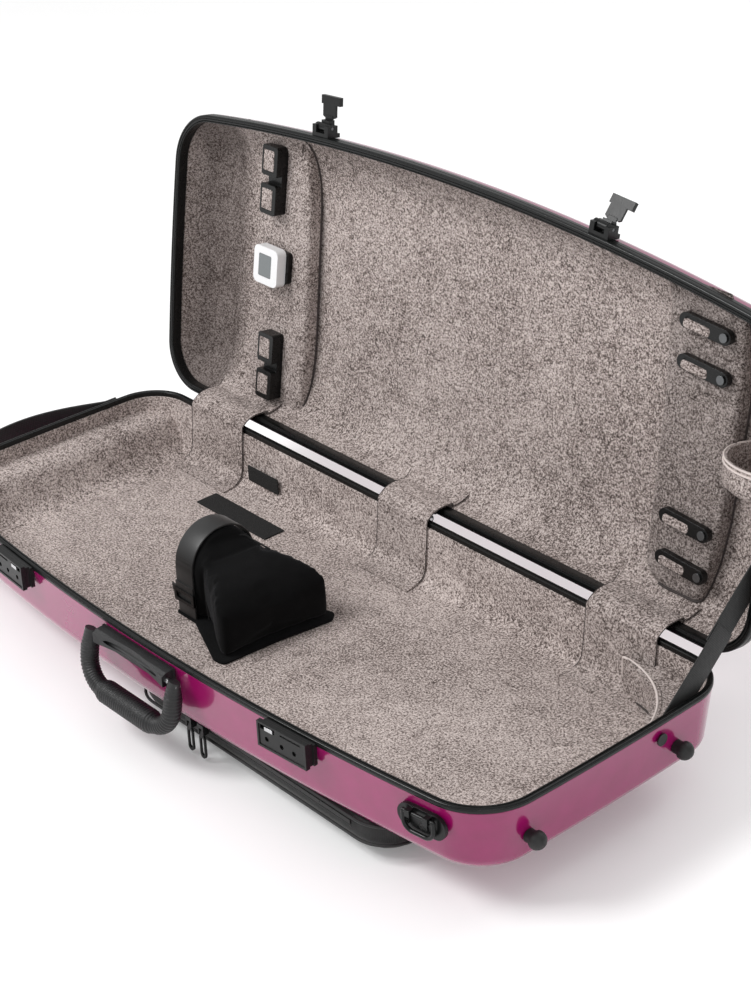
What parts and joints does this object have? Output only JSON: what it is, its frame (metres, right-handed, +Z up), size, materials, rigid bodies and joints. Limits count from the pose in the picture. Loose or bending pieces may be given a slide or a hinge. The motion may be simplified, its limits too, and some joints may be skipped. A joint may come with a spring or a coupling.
{
  "type": "violin case",
  "caption": "Oblong hard case with a bowed front, hinged padded lid, latches, carrying handle and a music pocket underneath, standing open",
  "frame": {"origin": "the point under the middle of the case, on the surface the case stands on", "axes": "+X runs along the case to its right end seen from the front, -Y is the front with the handle and locks, +Z is up"},
  "size_m": [0.8343, 0.4435, 0.4447],
  "materials": {
    "shell": "deep pink high gloss lacquer",
    "trim": "black satin moulding",
    "lining": "taupe brushed suede cloth",
    "hook_tape": "black hook tape",
    "velvet": "black velvet",
    "webbing": "black woven webbing",
    "pocket_cloth": "black woven cloth",
    "leather": "black grained leather",
    "rubber": "black rubber",
    "meter": "white moulded plastic",
    "screen": "grey display window",
    "hardware": "black lacquered metal",
    "bright_metal": "plain steel",
    "black_plastic": "black moulded plastic"
  },
  "bodies": {
    "base": {"base_shell": "shell", "base_rim": "trim", "base_lining": "lining", "left_end_pad": "lining", "right_end_pad": "lining", "corner_compartment": "lining", "hook_patches": "hook_tape", "neck_cradle": "velvet", "cradle_flap": "velvet", "cradle_strap": "webbing", "cradle_buckle": "black_plastic", "base_hinge_leaves": "hardware", "hinge_pins": "bright_metal", "hinge_screws": "bright_metal", "hinge_cover_left": "lining", "hinge_cover_middle": "lining", "hinge_cover_right": "lining", "lock_bodies": "hardware", "handle_mount": "leather", "handle_pins": "bright_metal", "strap_plates": "hardware", "strap_plate_screws": "hardware", "end_feet": "rubber", "end_handle": "webbing", "end_handle_rivets": "bright_metal", "stay_strap": "webbing", "stay_rivets": "hardware", "music_pocket": "pocket_cloth", "pocket_zipper": "hardware"},
    "lid": {"lid_shell": "shell", "lid_rim": "trim", "lid_seal": "trim", "lid_lining": "lining", "left_panel": "lining", "right_panel": "lining", "bow_clips": "black_plastic", "bow_clip_pads": "lining", "meter_holder": "black_plastic", "meter_body": "meter", "meter_screen": "screen", "spinner_rivets": "hardware", "tube_pocket": "lining", "latch_blocks": "hardware", "latch_pins": "bright_metal", "lid_hinge_leaves": "hardware"},
    "handle": {"handle_grip": "leather"},
    "left_slider": {"left_release_slider": "bright_metal"},
    "right_slider": {"right_release_slider": "bright_metal"},
    "left_ring": {"left_strap_ring": "hardware"},
    "right_ring": {"right_strap_ring": "hardware"},
    "left_latch": {"left_latch": "hardware"},
    "right_latch": {"right_latch": "hardware"},
    "spinner_1": {"bow_spinner_1": "black_plastic"},
    "spinner_2": {"bow_spinner_2": "black_plastic"},
    "spinner_3": {"bow_spinner_3": "black_plastic"},
    "spinner_4": {"bow_spinner_4": "black_plastic"},
    "left_zip": {"left_zip_slider": "hardware"},
    "right_zip": {"right_zip_slider": "hardware"},
    "left_pull": {"left_zip_pull": "hardware"},
    "right_pull": {"right_zip_pull": "hardware"}
  },
  "joints": [
    {"name": "lid_hinge", "type": "hinge", "parent": "base", "child": "lid", "pos_m": [0, 0.1624, 0.0998], "axis": [1, 0, 0], "range_deg": [0, 98.6], "deforming": ["hinge_cover_left", "hinge_cover_middle", "hinge_cover_right", "stay_strap"]},
    {"name": "handle_swing", "type": "hinge", "parent": "base", "child": "handle", "pos_m": [0, -0.166, 0.089], "axis": [-1, 0, 0], "range_deg": [0, 95]},
    {"name": "left_release", "type": "slide", "parent": "base", "child": "left_slider", "axis": [0.997, -0.0774, 0], "range_m": [0, 0.0052], "stiffness_N_per_m": 200},
    {"name": "right_release", "type": "slide", "parent": "base", "child": "right_slider", "axis": [-0.997, -0.0774, 0], "range_m": [0, 0.0052], "stiffness_N_per_m": 200},
    {"name": "left_ring_swing", "type": "hinge", "parent": "base", "child": "left_ring", "pos_m": [-0.33599, -0.14217, 0.088], "axis": [-0.9912, 0.1323, 0], "range_deg": [0, 110]},
    {"name": "right_ring_swing", "type": "hinge", "parent": "base", "child": "right_ring", "pos_m": [0.33599, -0.14217, 0.088], "axis": [-0.9912, -0.1323, 0], "range_deg": [0, 110]},
    {"name": "left_latch_swing", "type": "hinge", "parent": "lid", "child": "left_latch", "pos_m": [-0.17863, 0.22362, 0.41632], "axis": [0.9975, 0.0105, 0.0695], "range_deg": [-27.5, 90]},
    {"name": "right_latch_swing", "type": "hinge", "parent": "lid", "child": "right_latch", "pos_m": [0.17863, 0.22362, 0.41632], "axis": [0.9975, -0.0105, -0.0695], "range_deg": [0, 117.5]},
    {"name": "spinner_1_turn", "type": "hinge", "parent": "lid", "child": "spinner_1", "pos_m": [0.308, 0.23473, 0.35334], "axis": [0, 0.9888, -0.1495], "range_deg": [-30, 25]},
    {"name": "spinner_2_turn", "type": "hinge", "parent": "lid", "child": "spinner_2", "pos_m": [0.311, 0.22949, 0.31873], "axis": [0, 0.9888, -0.1495], "range_deg": [-80, 30]},
    {"name": "spinner_3_turn", "type": "hinge", "parent": "lid", "child": "spinner_3", "pos_m": [0.3135, 0.20901, 0.18327], "axis": [0, 0.9888, -0.1495], "range_deg": [-30, 80]},
    {"name": "spinner_4_turn", "type": "hinge", "parent": "lid", "child": "spinner_4", "pos_m": [0.315, 0.20332, 0.1457], "axis": [0, 0.9888, -0.1495], "range_deg": [-35, 30]},
    {"name": "left_zip_travel", "type": "slide", "parent": "base", "child": "left_zip", "axis": [-1, 0, 0], "range_m": [0, 0.05]},
    {"name": "right_zip_travel", "type": "slide", "parent": "base", "child": "right_zip", "axis": [1, 0, 0], "range_m": [0, 0.18]},
    {"name": "left_pull_swing", "type": "hinge", "parent": "left_zip", "child": "left_pull", "pos_m": [0.043, -0.142, 0.0305], "axis": [-1, 0, 0], "range_deg": [0, 90]},
    {"name": "right_pull_swing", "type": "hinge", "parent": "right_zip", "child": "right_pull", "pos_m": [0.06, -0.142, 0.0305], "axis": [-1, 0, 0], "range_deg": [0, 90]}
  ]
}
